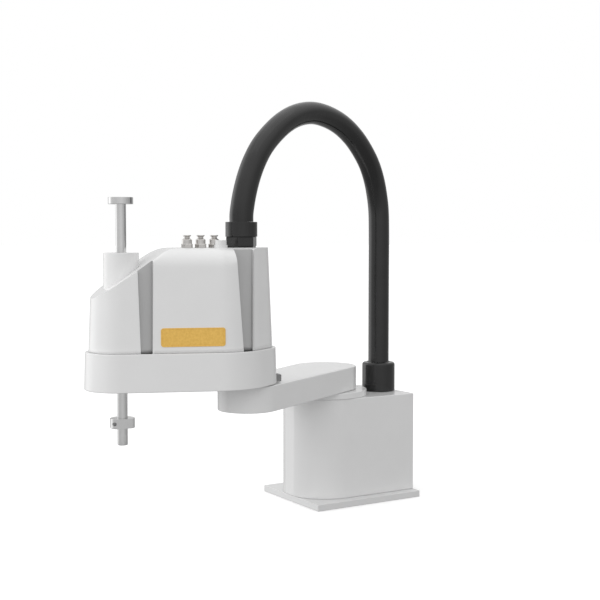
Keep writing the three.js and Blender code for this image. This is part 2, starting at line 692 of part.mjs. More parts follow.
function roofFittings() {
  const low = COVER.high + GAP;
  const under = COVER.high - 12; // the stems reach through the roof
  const { profile, hex, bore, depth, stem } = FITTINGS;
  const height = profile.at(-1)[1];
  const points = profile.map(([radius, up]) => [radius, low + up]);
  const closed = [[0, points[0][1]], ...points, [0, low + height]];
  FITTINGS.along.forEach((x, i) => {
    const place = [x, FITTINGS.across];
    const body = union(
      disc(stem, under, low + 1, place, 16),
      disc(hex, low, low + 6, place, 6),
      turned(closed, place, 20),
    );
    const mouth = disc(bore, low + depth, low + height + 1, place, 16);
    mesh(`air_fitting_${i + 1}`, cut(body, mouth), NICKEL, outer);
  });
  const at = [BUTTON.along, BUTTON.across];
  const bezel = tube(BUTTON.bezel, BUTTON.radius + 0.5, low, low + 5, at, 32);
  mesh("button_bezel", bezel, SHADE_PAINT, outer);
  const cap = union(
    disc(BUTTON.radius, low + BUTTON.travel + 0.4, BUTTON.top, at, 32),
    disc(BUTTON.stem, under, low + 4, at, 16),
  );
  mesh("brake_release_button", cap, PAINT, outer);
}

base();
glands();
innerArm();
tray();
cover();
elbowDrive();
quillDrive();
quill();
roofFittings();
conduit("conduit_arch", 0, SPLIT - SPLIT_GAP, 28);
conduit("conduit_drop", SPLIT + SPLIT_GAP, ROUTE.length - 1, 14);

export default root;
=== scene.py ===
"""Looks of a four-axis SCARA robot arm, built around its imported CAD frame.

Shapes are written in millimetres in the plan frame of the body that they sit on, and become metres in make().
"""

import json
import math

import bmesh
import bpy
import numpy as np
from mathutils import Matrix, Vector


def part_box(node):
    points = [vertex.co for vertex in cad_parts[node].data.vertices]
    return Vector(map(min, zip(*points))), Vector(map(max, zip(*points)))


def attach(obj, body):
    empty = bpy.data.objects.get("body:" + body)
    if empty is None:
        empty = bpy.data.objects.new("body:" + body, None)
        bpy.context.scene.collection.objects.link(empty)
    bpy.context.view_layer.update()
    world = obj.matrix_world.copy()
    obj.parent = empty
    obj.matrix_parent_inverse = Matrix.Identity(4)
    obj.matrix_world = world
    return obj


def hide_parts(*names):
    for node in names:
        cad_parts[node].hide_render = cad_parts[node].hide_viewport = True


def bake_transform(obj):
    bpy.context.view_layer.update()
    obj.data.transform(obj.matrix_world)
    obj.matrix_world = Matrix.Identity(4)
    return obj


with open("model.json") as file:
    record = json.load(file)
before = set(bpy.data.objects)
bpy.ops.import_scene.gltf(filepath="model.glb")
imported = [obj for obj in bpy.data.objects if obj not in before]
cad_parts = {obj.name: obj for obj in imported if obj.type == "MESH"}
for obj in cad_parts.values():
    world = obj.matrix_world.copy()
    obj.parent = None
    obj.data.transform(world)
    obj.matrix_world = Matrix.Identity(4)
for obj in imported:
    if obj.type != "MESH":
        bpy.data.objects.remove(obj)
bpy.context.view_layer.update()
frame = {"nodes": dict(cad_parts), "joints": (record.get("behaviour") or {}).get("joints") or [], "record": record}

MM = 0.001
JOINTS = {joint["name"]: joint for joint in frame["joints"]}
ELBOW = Vector(JOINTS["elbow"]["pos_m"]) / MM
QUILL_AXIS = Vector(JOINTS["quill_turn"]["pos_m"]) / MM


def level(node, end):
    """A node's lowest (end 0) or highest (end 1) height, in mm."""
    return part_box(node)[end].z / MM


def centre(node):
    low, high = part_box(node)
    return (low + high) / 2 / MM


def size(node):
    low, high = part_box(node)
    return (high - low) / MM


def plan_frame(x, y, heading):
    return Matrix.Translation((x * MM, y * MM, 0)) @ Matrix.Rotation(heading, 4, "Z")


INNER_LENGTH = math.hypot(ELBOW.x, ELBOW.y)
REACH = Vector((QUILL_AXIS.x - ELBOW.x, QUILL_AXIS.y - ELBOW.y))
OUTER_LENGTH = REACH.length
BASE = Matrix.Identity(4)
INNER = plan_frame(0, 0, math.atan2(ELBOW.y, ELBOW.x))
OUTER = plan_frame(ELBOW.x, ELBOW.y, math.atan2(REACH.y, REACH.x))
QUILL = (OUTER_LENGTH, 0)


def in_outer(point):
    """A point of the row frame, in mm, in the outer arm's plan frame."""
    return OUTER.inverted() @ (point * MM) / MM


# ---- camera, lights and floor ----

CAMERA_PLACE = (1.38188, 2.13849, 0.58810)
CAMERA_HEADING = (-0.5245, -0.8514)
CAMERA_DOWN = 3.24  # degrees
CAMERA_LENS = 68.33


def camera():
    data = bpy.data.cameras.new("camera")
    data.lens = CAMERA_LENS
    data.sensor_width = 36
    data.clip_end = 200
    made = bpy.data.objects.new("camera", data)
    bpy.context.scene.collection.objects.link(made)
    made.location = CAMERA_PLACE
    down = math.radians(CAMERA_DOWN)
    x, y = CAMERA_HEADING
    look = Vector((x * math.cos(down), y * math.cos(down), -math.sin(down)))
    made.rotation_euler = look.to_track_quat("-Z", "Y").to_euler()
    bpy.context.scene.camera = made
    bpy.context.scene.view_settings.view_transform = "Standard"


# Brightness of the studio round the object, by azimuth from the camera's side: [share of a turn, value]
STUDIO = [
    (0.0, 0.75), (0.06, 0.55), (0.11, 0.7), (0.15, 1.5), (0.215, 1.5), (0.26, 0.85), (0.30, 0.74),
    (0.40, 0.7), (0.47, 0.76), (0.555, 0.8), (0.62, 0.7), (0.70, 0.56), (0.78, 0.44), (0.86, 0.4),
    (0.94, 0.55), (1.0, 0.75),
]
ZENITH = 1.0
NADIR = 0.35
BACKDROP = 1.0
CEILING = (0.25, 0.75)  # heights in the sphere round the object, from the first overhead light to all of it
GROUND = (-0.08, -0.4)


def studio():
    """A soft room: bright panels and darker gaps by azimuth, brighter overhead, plain white behind."""
    world = bpy.data.worlds.new("studio")
    bpy.context.scene.world = world
    world.use_nodes = True
    tree = world.node_tree
    tree.nodes.clear()
    graph = Graph(tree)
    direction = graph.add("ShaderNodeTexCoord").outputs["Generated"]
    apart = graph.add("ShaderNodeSeparateXYZ", Vector=direction).outputs
    heading = math.atan2(-CAMERA_HEADING[1], -CAMERA_HEADING[0])
    turn = graph.maths("ARCTAN2", apart["Y"], apart["X"])
    # 0.5 of a turn is straight behind the camera, less is to its left.
    full = 2 * math.pi
    share = graph.maths("FRACT", graph.maths("MULTIPLY_ADD", turn, 1 / full, 0.5 - heading / full))
    ramp = graph.add("ShaderNodeValToRGB", Fac=share)
    ramp.color_ramp.interpolation = "EASE"
    stops = ramp.color_ramp.elements
    for i, (place, value) in enumerate(STUDIO):
        stop = stops[i] if i < 2 else stops.new(place)
        stop.position = place
        stop.color = (value / 2, value / 2, value / 2, 1)
    around = graph.maths("MULTIPLY", ramp.outputs["Color"], 2)
    up = graph.span(apart["Z"], *CEILING)
    down = graph.span(apart["Z"], *GROUND)
    room = graph.mix(down, graph.mix(up, around, ZENITH), NADIR)
    seen = graph.add("ShaderNodeLightPath").outputs["Is Camera Ray"]
    strength = graph.mix(seen, room, BACKDROP)
    back = graph.add("ShaderNodeBackground", Color=(1, 1, 1, 1), Strength=strength)
    out = graph.add("ShaderNodeOutputWorld")
    tree.links.new(back.outputs[0], out.inputs["Surface"])


def area_light(name, place, target, width, power, mirrored=True):
    data = bpy.data.lights.new(name, "AREA")
    data.size = width
    data.energy = power
    made = bpy.data.objects.new(name, data)
    bpy.context.scene.collection.objects.link(made)
    made.location = place
    made.rotation_euler = (Vector(target) - Vector(place)).to_track_quat("-Z", "Y").to_euler()
    made.visible_glossy = mirrored


def lights():
    """Key and fill stay out of mirror reflections, where the studio's own panels stand."""
    middle = (0.2, 0.1, 0.35)
    area_light("key_light", (3.0, -0.3, 1.15), middle, 3.2, 35, mirrored=False)
    area_light("top_light", (0.1, 0.3, 3.2), middle, 2.4, 5)
    area_light("fill_light", (0.9, 2.7, 1.0), middle, 2.4, 7.5, mirrored=False)


def floor():
    mesh = bpy.data.meshes.new("floor")
    far = 60
    mesh.from_pydata([(-far, -far, 0), (far, -far, 0), (far, far, 0), (-far, far, 0)], [], [(0, 1, 2, 3)])
    made = bpy.data.objects.new("floor", mesh)
    bpy.context.scene.collection.objects.link(made)
    made.location.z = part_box("base_plate")[0].z - 0.0005
    # The pale floor is so wide that its own light would flood every underside.
    made.visible_diffuse = False
    made.visible_glossy = False
    mesh.materials.append(plain_floor())


# ---- materials ----


class Graph:
    """Short ways to add and link shader nodes."""

    def __init__(self, tree):
        self.tree = tree

    def add(self, kind, **inputs):
        node = self.tree.nodes.new(kind)
        for name, value in inputs.items():
            self.feed(node.inputs[name], value)
        return node

    def feed(self, socket, value):
        if isinstance(value, bpy.types.NodeSocket):
            self.tree.links.new(value, socket)
        else:
            socket.default_value = value

    def maths(self, operation, *values):
        node = self.tree.nodes.new("ShaderNodeMath")
        node.operation = operation
        for socket, value in zip(node.inputs, values):
            self.feed(socket, value)
        return node.outputs[0]

    def span(self, value, start, end):
        """How far value has come from start to end, from 0 to 1."""
        limits = {"From Min": start, "From Max": end}
        return self.add("ShaderNodeMapRange", Value=value, **limits).outputs[0]

    def mix(self, share, low, high):
        node = self.add("ShaderNodeMix", **{"Factor": share})
        self.feed(node.inputs["A"], low)
        self.feed(node.inputs["B"], high)
        return node.outputs["Result"]


def grain(graph, scale, detail=3, stretch=(1, 1, 1)):
    """Noise over the object, in cells of about scale mm; stretch above 1 squeezes it along an axis."""
    place = graph.add("ShaderNodeTexCoord").outputs["Object"]
    scaled = graph.add("ShaderNodeMapping", Vector=place, Scale=stretch).outputs[0]
    noise = graph.add("ShaderNodeTexNoise", Vector=scaled, Scale=1 / (scale * MM), Detail=detail)
    return noise.outputs["Fac"]


def finish_material(name, low, high, rough, bump, patch=60, fine=0.9, stretch=(1, 1, 1), **sockets):
    """A finish whose colour and gloss vary softly in patches, over a fine surface texture.

    low and high are the colours it varies between, rough the least and most roughness, and bump (strength,
    height in mm).
    """
    made = bpy.data.materials.new(name)
    made.use_nodes = True
    tree = made.node_tree
    tree.nodes.clear()
    graph = Graph(tree)
    patches = grain(graph, patch, 4)
    ramp = graph.add("ShaderNodeValToRGB", Fac=patches)
    for stop, place, colour in zip(ramp.color_ramp.elements, (0.35, 0.65), (low, high)):
        stop.position = place
        stop.color = (*colour, 1)
    texture = grain(graph, fine, 2, stretch)
    spread = {"To Min": rough[0], "To Max": rough[1]}
    gloss = graph.add("ShaderNodeMapRange", Value=graph.mix(0.5, patches, texture), **spread).outputs[0]
    relief = graph.add("ShaderNodeBump", Strength=bump[0], Distance=bump[1] * MM, Height=texture)
    shader = graph.add("ShaderNodeBsdfPrincipled", Roughness=gloss, Normal=relief.outputs[0])
    graph.feed(shader.inputs["Base Color"], ramp.outputs["Color"])
    for socket, value in sockets.items():
        shader.inputs[socket.replace("_", " ")].default_value = value
    out = graph.add("ShaderNodeOutputMaterial")
    tree.links.new(shader.outputs[0], out.inputs["Surface"])
    return made


def grey(value, warm=0.0):
    return (value * (1 + warm), value, value * (1 - warm))


def plain_floor():
    return finish_material(
        "pale_floor", grey(0.93), grey(0.95), (0.8, 0.9), (0.02, 0.2), patch=400, fine=3,
        Emission_Color=(1, 1, 1, 1), Emission_Strength=0.25,
    )


def materials():
    satin = {"Coat_Weight": 0.7, "Coat_Roughness": 0.1}
    metal = {"Metallic": 1.0}
    gloss = {"Specular_IOR_Level": 0.45, "Coat_Weight": 0.15, "Coat_Roughness": 0.12}
    # slot: name, colour from and to, roughness, bump, patch, fine, stretch, other sockets
    tall, even = (1, 1, 6), (1, 1, 1)
    leaf = ((0.78, 0.47, 0.1), (0.86, 0.54, 0.13))
    table = {
        "paint": ("satin_paint", grey(0.75), grey(0.765), (0.36, 0.46), (0.12, 0.05), 60, 0.9, even, satin),
        # The groove walls and floors get a darker grey than the rest of the cover: painted shade of the recesses.
        "groove": ("groove_paint", grey(0.44), grey(0.455), (0.4, 0.5), (0.14, 0.05), 60, 0.9, even, satin),
        "plate_paint": (
            "plate_paint", grey(0.71), grey(0.725), (0.4, 0.5), (0.14, 0.05), 60, 0.9, even, satin
        ),
        "steel": ("polished_steel", grey(0.66), grey(0.7), (0.1, 0.18), (0.04, 0.01), 25, 0.5, tall, metal),
        "nickel": (
            "nickel_plate", grey(0.6, 0.025), grey(0.66, 0.03), (0.14, 0.24), (0.04, 0.01), 8, 0.4, even,
            metal,
        ),
        "black_gloss": (
            "black_conduit", grey(0.0105), grey(0.0135), (0.13, 0.2), (0.05, 0.03), 40, 1.2, even, gloss
        ),
        "belt_rubber": ("belt_rubber", grey(0.02), grey(0.03), (0.6, 0.75), (0.3, 0.1), 20, 0.8, even, {}),
        "dark_case": ("dark_case", grey(0.045), grey(0.06), (0.45, 0.6), (0.25, 0.06), 25, 0.7, even, {}),
        "alloy": ("cast_alloy", grey(0.5), grey(0.58), (0.32, 0.45), (0.12, 0.04), 15, 0.7, even, metal),
        "panel_grey": ("panel_grey", grey(0.2), grey(0.23), (0.42, 0.54), (0.2, 0.05), 30, 0.8, even, {}),
        "screw_steel": (
            "screw_steel", grey(0.32), grey(0.38), (0.22, 0.34), (0.08, 0.02), 5, 0.3, even, metal
        ),
        "button_plastic": (
            "button_plastic", grey(0.72), grey(0.75), (0.28, 0.36), (0.06, 0.03), 12, 0.5, even,
            {"Coat_Weight": 0.2},
        ),
        "gold": ("gold_leaf", *leaf, (0.3, 0.4), (0.08, 0.02), 4, 0.6, (1, 1, 5), {"Metallic": 0.35}),
    }
    return {slot: finish_material(*values, **sockets) for slot, (*values, sockets) in table.items()}


# ---- mesh building ----

SHARP = math.radians(32)


def make(name, verts, faces, place, body, slot, replaces=(), looks=None):
    """A piece from points in mm in a plan frame. looks names each face's material, where they differ."""
    mesh = bpy.data.meshes.new(name)
    mesh.from_pydata([place @ (Vector(v) * MM) for v in verts], [], faces)
    finishes = [slot]
    if looks:
        finishes = sorted(set(looks), key=lambda look: look != slot)
        mesh.polygons.foreach_set("material_index", [finishes.index(look) for look in looks])
    for look in finishes:
        mesh.materials.append(FINISH[look])
    made = bpy.data.objects.new(name, mesh)
    bpy.context.scene.collection.objects.link(made)
    tidy_mesh(made)
    if body:
        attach(made, body)
    if replaces:
        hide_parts(*replaces)
    return made


def tidy_mesh(made, merge=1e-6):
    """Merges doubles, turns faces outwards, and shades smoothly but for sharp edges."""
    work = bmesh.new()
    work.from_mesh(made.data)
    bmesh.ops.remove_doubles(work, verts=work.verts, dist=merge)
    bmesh.ops.recalc_face_normals(work, faces=work.faces)
    for face in work.faces:
        face.smooth = True
    for edge in work.edges:
        edge.smooth = len(edge.link_faces) != 2 or edge.calc_face_angle(0) < SHARP
    work.to_mesh(made.data)
    work.free()


def rounded(corners, closed=False, arc=12):
    """A polyline through corners, (x, y) or (x, y, radius), with each radius drawn as an arc."""
    points = []
    count = len(corners)
    for i, (x, y, *radius) in enumerate(corners):
        here = Vector((x, y))
        if not radius or (not closed and i in (0, count - 1)):
            points.append(here)
            continue
        before = (Vector(corners[i - 1][:2]) - here).normalized()
        after = (Vector(corners[(i + 1) % count][:2]) - here).normalized()
        half = before.angle(after) / 2
        reach = radius[0] / math.tan(half)
        middle = here + (before + after).normalized() * radius[0] / math.sin(half)
        start = here + before * reach - middle
        sweep = start.angle_signed(here + after * reach - middle)
        steps = max(2, round(abs(math.degrees(sweep)) / arc))
        support = radius[0] * 0.3
        points.append(here + before * (reach + support))
        for step in range(steps + 1):
            angle = -sweep * step / steps
            points.append(middle + Matrix.Rotation(angle, 2) @ start)
        points.append(here + after * (reach + support))
    return points


def inset(points, distance):
    """A closed outline, counter-clockwise, moved inwards by distance."""
    made = []
    count = len(points)
    for i, point in enumerate(points):
        ahead = (points[(i + 1) % count] - point).normalized()
        behind = (point - points[i - 1]).normalized()
        normals = [Vector((-way.y, way.x)) for way in (ahead, behind)]
        both = (normals[0] + normals[1]).normalized()
        made.append(point + both * distance / max(0.3, both.dot(normals[0])))
    return made


def skin(rings):
    """Faces over a stack of rings with equal counts, closed at both ends. Returns points and faces."""
    count = len(rings[0])
    verts = [point for ring in rings for point in ring]
    faces = []
    for level_, _ in enumerate(rings[:-1]):
        low = level_ * count
        for i in range(count):
            next_ = (i + 1) % count
            faces.append((low + i, low + next_, low + count + next_, low + count + i))
    faces.append(tuple(range(count))[::-1])
    faces.append(tuple(range(len(verts) - count, len(verts))))
    return verts, faces


def stacked(plan, profile):
    """Rings of a plan outline, one for each (inset, height) of the profile."""
    return [[(p.x, p.y, z) for p in inset(plan, by)] for by, z in profile]


def turned(profile, at=(0, 0), sides=96):
    """Rings about an upright axis, one for each (radius, height) of the profile."""
    rings = []
    for radius, z in profile:
        radius = max(radius, 0.01)
        angles = [2 * math.pi * i / sides for i in range(sides)]
        rings.append([(at[0] + radius * math.cos(a), at[1] + radius * math.sin(a), z) for a in angles])
    return rings


def laid(rings, at):
    """Rings about an upright axis, laid over so that their axis runs along -X from a point."""
    return [[(at[0] - z, at[1] + x, at[2] + y) for x, y, z in ring] for ring in rings]


def ring_body(profile, at=(0, 0), sides=96):
    """A tube turned from a closed loop of (radius, height): its faces join the last ring to the first."""
    rings = turned(profile, at, sides)
    verts = [point for ring in rings for point in ring]
    faces = []
    total = len(rings)
    for k in range(total):
        low, high = k * sides, (k + 1) % total * sides
        for i in range(sides):
            next_ = (i + 1) % sides
            faces.append((low + i, low + next_, high + next_, high + i))
    return verts, faces


def rectangle(x0, y0, x1, y1, radius):
    corners = [(x0, y0, radius), (x1, y0, radius), (x1, y1, radius), (x0, y1, radius)]
    return rounded(corners, closed=True, arc=15)


def wrap(circles, step=3):
    """The outline round a row of circles on the X axis, [place, radius] each, counter-clockwise."""
    touch = [math.acos((ra - rb) / (xb - xa)) for (xa, ra), (xb, rb) in zip(circles, circles[1:])]
    bounds = [math.pi, *touch, 0.0]
    half = []
    for i in range(len(circles) - 1, -1, -1):
        x, radius = circles[i]
        start, end = bounds[i + 1], bounds[i]
        steps = max(2, round(math.degrees(end - start) / step))
        for k in range(steps + 1):
            angle = start + (end - start) * k / steps
            half.append(Vector((x + radius * math.cos(angle), radius * math.sin(angle))))
    mirrored = [Vector((p.x, -p.y)) for p in half[-2:0:-1]]
    return half + mirrored


def carve(made, *cutters):
    """Cuts closed cutter meshes, (points, faces, place) each, out of a piece."""
    tools = []
    for i, (verts, faces, place) in enumerate(cutters):
        mesh = bpy.data.meshes.new("cutter")
        mesh.from_pydata([place @ (Vector(v) * MM) for v in verts], [], faces)
        tool = bpy.data.objects.new(f"cutter_{i}", mesh)
        bpy.context.scene.collection.objects.link(tool)
        tidy_mesh(tool)
        tools.append(tool)
        cut = made.modifiers.new("cut", "BOOLEAN")
        cut.operation = "DIFFERENCE"
        cut.solver = "EXACT"
        cut.object = tool
    bpy.context.view_layer.update()
    shaped = made.evaluated_get(bpy.context.evaluated_depsgraph_get())
    mesh = bpy.data.meshes.new_from_object(shaped)
    made.modifiers.clear()
    made.data = mesh
    for tool in tools:
        bpy.data.objects.remove(tool)
    tidy_mesh(made)


def drill(radius, low, high, at, place, sides=64):
    return (*skin(turned([(radius, low), (radius, high)], at, sides)), place)


def box_cutter(x0, y0, z0, x1, y1, z1, place):
    corners = [Vector((x0, y0)), Vector((x1, y0)), Vector((x1, y1)), Vector((x0, y1))]
    return (*skin([[(p.x, p.y, z) for p in corners] for z in (z0, z1)]), place)


def soften(made, width, segments=2, angle=40):
    """Rounds a piece's sharp edges by width mm."""
    bevel = made.modifiers.new("bevel", "BEVEL")
    bevel.width = width * MM
    bevel.segments = segments
    bevel.limit_method = "ANGLE"
    bevel.angle_limit = math.radians(angle)
    bevel.harden_normals = False
    bevel.miter_outer = "MITER_ARC"


def gather(*shapes):
    """Several (points, faces) as one."""
    verts, faces = [], []
    for more, their in shapes:
        first = len(verts)
        verts += list(more)
        faces += [tuple(i + first for i in face) for face in their]
    return verts, faces


# ---- conduit ----

CONDUIT = 23.5
ALONG_GLAND = 12.6  # of the arm gland, from the elbow axis along the outer arm
ROUTE = [
    (0, 298.3), (0, 400), (0, 500), (0, 600), (2, 645), (7, 672), (20, 712), (40, 747), (69, 778), (104, 805),
    (150, 828), (205, 842), (258, 845), (310, 835), (352, 817), (390, 792), (422, 764), (446, 733),
    (463, 702), (475, 671), (482, 645), (485, 628), (485, 614.9),
]
SPLIT = 13  # the route point where the stretch that ends at the arm gland starts
STEPS = 7  # rings between two route points


def conduit_line(first, last):
    """Points of a centripetal Catmull-Rom curve between two points of the route, in its own plane."""
    route = [Vector(p) for p in ROUTE]
    route = [2 * route[0] - route[1], *route, 2 * route[-1] - route[-2]]
    line = []
    for i in range(first, last):
        p0, p1, p2, p3 = route[i : i + 4]
        d0, d1, d2 = (math.sqrt((b - a).length) for a, b in ((p0, p1), (p1, p2), (p2, p3)))
        leave = ((p1 - p0) / d0 - (p2 - p0) / (d0 + d1) + (p2 - p1) / d1) * d1
        reach = ((p2 - p1) / d1 - (p3 - p1) / (d1 + d2) + (p3 - p2) / d2) * d1
        steps = STEPS * (3 if i < 3 else 1)
        for k in range(steps + (i == last - 1)):
            t = k / steps
            bend = -3 * p1 + 3 * p2 - 2 * leave - reach
            turn = 2 * p1 - 2 * p2 + leave + reach
            line.append(p1 + leave * t + bend * t**2 + turn * t**3)
    return line


def conduit_frame():
    """The start of the route in plan, its direction and the direction across it."""
    start = Vector(centre("base_gland").xy)
    end = ELBOW.xy + REACH.normalized() * ALONG_GLAND
    way = (end - start).normalized()
    return start, way, Vector((-way.y, way.x))


def conduit(node, first, last):
    start, way, across = conduit_frame()
    line = conduit_line(first, last)
    sides = 48
    rings, path = [], []
    for i, point in enumerate(line):
        ahead = (line[min(i + 1, len(line) - 1)] - line[max(i - 1, 0)]).normalized()
        if i in (0, len(line) - 1):
            ahead = end_direction(first if i == 0 else last)
        out = Vector((ahead.y, -ahead.x))
        middle = space(point, start, way)
        path.append([x * MM for x in middle])
        ring = []
        for k in range(sides):
            angle = 2 * math.pi * k / sides
            flat = CONDUIT * math.cos(angle)
            side = CONDUIT * math.sin(angle)
            ring.append(
                (
                    middle[0] + way.x * out.x * flat + across.x * side,
                    middle[1] + way.y * out.x * flat + across.y * side,
                    middle[2] + out.y * flat,
                )
            )
        rings.append(ring)
    made = make(f"{node}_tube", *skin(rings), BASE, None, "black_gloss", [node])
    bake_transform(made)
    return made


def space(point, start, way):
    return (start.x + way.x * point.x, start.y + way.y * point.x, point.y)


def end_direction(at):
    """The curve's own direction at a route point, so that two stretches meet on one ring."""
    near = conduit_line(max(at - 1, 0), min(at + 1, len(ROUTE) - 1))
    i = 0 if at == 0 else len(near) - 1 if at == len(ROUTE) - 1 else STEPS
    return (near[min(i + 1, len(near) - 1)] - near[max(i - 1, 0)]).normalized()


# ---- base ----


def block_profile(low, high, bottom, top, reach=12):
    """The profile of a solid slab with rounded lower and upper edges, for stacked()."""
    return rounded([(reach, low), (0, low, bottom), (0, high, top), (reach, high)])


def base_plate():
    low, high = (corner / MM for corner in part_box("base_plate"))
    plan = rectangle(low.x, low.y, high.x, high.y, 2.5)
    shape = skin(stacked(plan, block_profile(low.z, high.z, 0.6, 1.0, 2)))
    make("ground_plate", *shape, BASE, "base", "plate_paint", ["base_plate"])


WINDOW = {"half": 68, "low": 40, "high": 196, "deep": 4}  # the opening that the rear panel closes
NOSE_CREASE = 5  # radius of the edge where the column's round nose is cut flat


def base_column():
    low, high = (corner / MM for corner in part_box("base_column"))
    radius = high.y
    flat = math.acos(high.x / radius)
    angles = [flat + (math.pi / 2 - flat) * i / 40 for i in range(41)]
    nose = [(radius * math.cos(a), radius * math.sin(a)) for a in angles]
    nose[0] = (*nose[0], NOSE_CREASE)
    right = [(x, -y, *crease) for x, y, *crease in reversed(nose)]
    corners = [(low.x, -radius, 2.5), *right, *nose, (low.x, radius, 2.5)]
    plan = rounded(corners, closed=True)
    shape = skin(stacked(plan, block_profile(low.z, high.z, 0.8, 1.4, 2.6)))
    made = make("column_housing", *shape, BASE, "base", "paint", ["base_column"])
    half = WINDOW["half"]
    carve(
        made,
        box_cutter(low.x - 5, -half, WINDOW["low"], low.x + WINDOW["deep"], half, WINDOW["high"], BASE),
    )


def shoulder_flange():
    low, high = level("shoulder_flange", 0), level("shoulder_flange", 1)
    radius = size("shoulder_flange").x / 2
    loop = rounded([(44, low), (radius, low, 0.8), (radius, high, 1.2), (44, high)])
    make("flange_ring", *ring_body(loop, sides=144), BASE, "base", "paint", ["shoulder_flange"])


def panel_face():
    """The plane of the rear panel's outer face."""
    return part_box("rear_panel")[0].x / MM


def rear_panel():
    low, high = (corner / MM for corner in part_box("rear_panel"))
    plan = rectangle(low.y, low.z, high.y, high.z, 3)
    profile = rounded([(2.6, -2), (0, -2, 0.3), (0, 0, 0.7), (2.6, 0)])
    rings = laid(stacked(plan, profile), (panel_face(), 0, 0))
    make("connector_panel", *skin(rings), BASE, "base", "panel_grey", ["rear_panel"])


def hexagon(radius, count=48, at=(0, 0), start=0.0):
    """A hexagon's outline as a ring of many points."""
    made = []
    for i in range(count):
        angle = 2 * math.pi * i / count
        reach = radius * math.cos(math.pi / 6) / math.cos(angle % (math.pi / 3) - math.pi / 6)
        made.append((at[0] + reach * math.cos(angle + start), at[1] + reach * math.sin(angle + start)))
    return made


def socket_screw(radius, height, socket):
    """Rings of a screw head with a hexagonal socket, standing on zero."""
    head = [(radius * 0.5, 0), (radius, 0), (radius, height, 0.35), (socket * 1.3, height)]
    rings = turned(rounded(head), sides=48)
    for reach, z in ((socket * 1.05, height), (socket, height - 0.2), (socket, height * 0.35)):
        rings.append([(x, y, z) for x, y in hexagon(reach)])
    return rings


def panel_screws():
    for i in range(1, 5):
        node = f"panel_screw_{i}"
        at = centre(node)
        rings = laid(socket_screw(size(node).y / 2, 2.1, 1.5), (panel_face(), at.y, at.z))
        make(f"cap_screw_{i}", *skin(rings), BASE, "base", "screw_steel", [node])


def knurl(radius, teeth, depth=0.5):
    """A ring outline with fine teeth."""
    made = []
    for i in range(teeth * 4):
        angle = 2 * math.pi * i / (teeth * 4)
        reach = radius - (depth if i % 4 > 1 else 0)
        made.append(Vector((reach * math.cos(angle), reach * math.sin(angle))))
    return made


def connector(node, pins):
    """A round receptacle: square flange, knurled ring, cup and its pins."""
    at = centre(node)
    radius = size(node).y / 2
    far = panel_face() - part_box(node)[0].x / MM
    face = (panel_face(), at.y, at.z)
    half = radius * 0.98
    square = rectangle(-half, -half, half, half, 3)
    flange = skin(laid(stacked(square, block_profile(0, 2.2, 0.2, 0.5, 4)), face))
    grip = rounded([(3, 2), (0, 2), (0, far * 0.62, 0.5), (3, far * 0.62)])
    collar_ = skin(laid(stacked(knurl(radius * 0.86, 30), grip), face))
    outer, inner = radius * 0.72, radius * 0.6
    wall = [(4, 3), (outer, 3), (outer, far, 0.5), (inner, far, 0.4), (inner, far * 0.5), (0.5, far * 0.5)]
    cup = skin(laid(turned(rounded(wall)), face))
    shapes = [flange, collar_, cup]
    tip = rounded([(0.2, far * 0.45), (1.1, far * 0.45), (1.1, far * 0.86, 0.6), (0.1, far * 0.86)])
    for i in range(pins):
        angle = 2 * math.pi * i / pins
        spot = (radius * 0.36 * math.cos(angle), radius * 0.36 * math.sin(angle))
        shapes.append(skin(laid(turned(tip, spot, 16), face)))
    verts, faces = gather(*shapes)
    fixed = sum(len(shape[1]) for shape in shapes[:3])
    looks = ["dark_case"] * fixed + ["gold"] * (len(faces) - fixed)
    make(f"{node}_socket", verts, faces, BASE, "base", "dark_case", [node], looks)


def air_inlet(node):
    """A push-in fitting: hexagon, round body, and the release ring round its bore."""
    at = centre(node)
    face = (panel_face(), at.y, at.z)
    far = panel_face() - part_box(node)[0].x / MM
    wide = size(node).y / 2
    chamfered = ((1, 0), (0, 0.6), (0, 4.2), (1, 5))  # inset and height
    hexed = skin(laid([[(x, y, z) for x, y in hexagon(wide - by)] for by, z in chamfered], face))
    body = rounded(
        [(2, 4), (wide * 0.76, 4), (wide * 0.76, far * 0.78, 1), (wide * 0.66, far * 0.8), (2, far * 0.8)]
    )
    ring = rounded(
        [(wide * 0.58, far * 0.7), (wide * 0.58, far, 0.4), (wide * 0.4, far, 0.5), (wide * 0.4, far * 0.3),
         (0.3, far * 0.3)]
    )
    shapes = [hexed, skin(laid(turned(body, sides=48), face)), skin(laid(turned(ring, sides=48), face))]
    verts, faces = gather(*shapes)
    looks = ["nickel"] * (len(shapes[0][1]) + len(shapes[1][1])) + ["dark_case"] * len(shapes[2][1])
    make(f"{node}_fitting", verts, faces, BASE, "base", "nickel", [node], looks)


# ---- glands ----


def hex_corners(at, radius, edge):
    """The corners of a hexagonal outline, each with the radius of its edge."""
    angles = [k * math.pi / 3 for k in range(6)]
    return [(at.x + radius * math.cos(a), at.y + radius * math.sin(a), edge) for a in angles]


def base_gland():
    node = "base_gland"
    at = centre(node).xy
    radius = size(node).x / 2
    low, high = level("base_column", 1), level(node, 1)
    profile = rounded(
        [(20, low), (radius - 0.6, low), (radius, low + 1.6, 0.8), (radius, high, 6.5),
         (CONDUIT + 3.4, high, 1.2), (CONDUIT + 2.2, high - 1.6), (20, high - 1.6)],
        arc=7,
    )
    make("column_gland", *skin(turned(profile, at, 128)), BASE, "base", "black_gloss", [node])


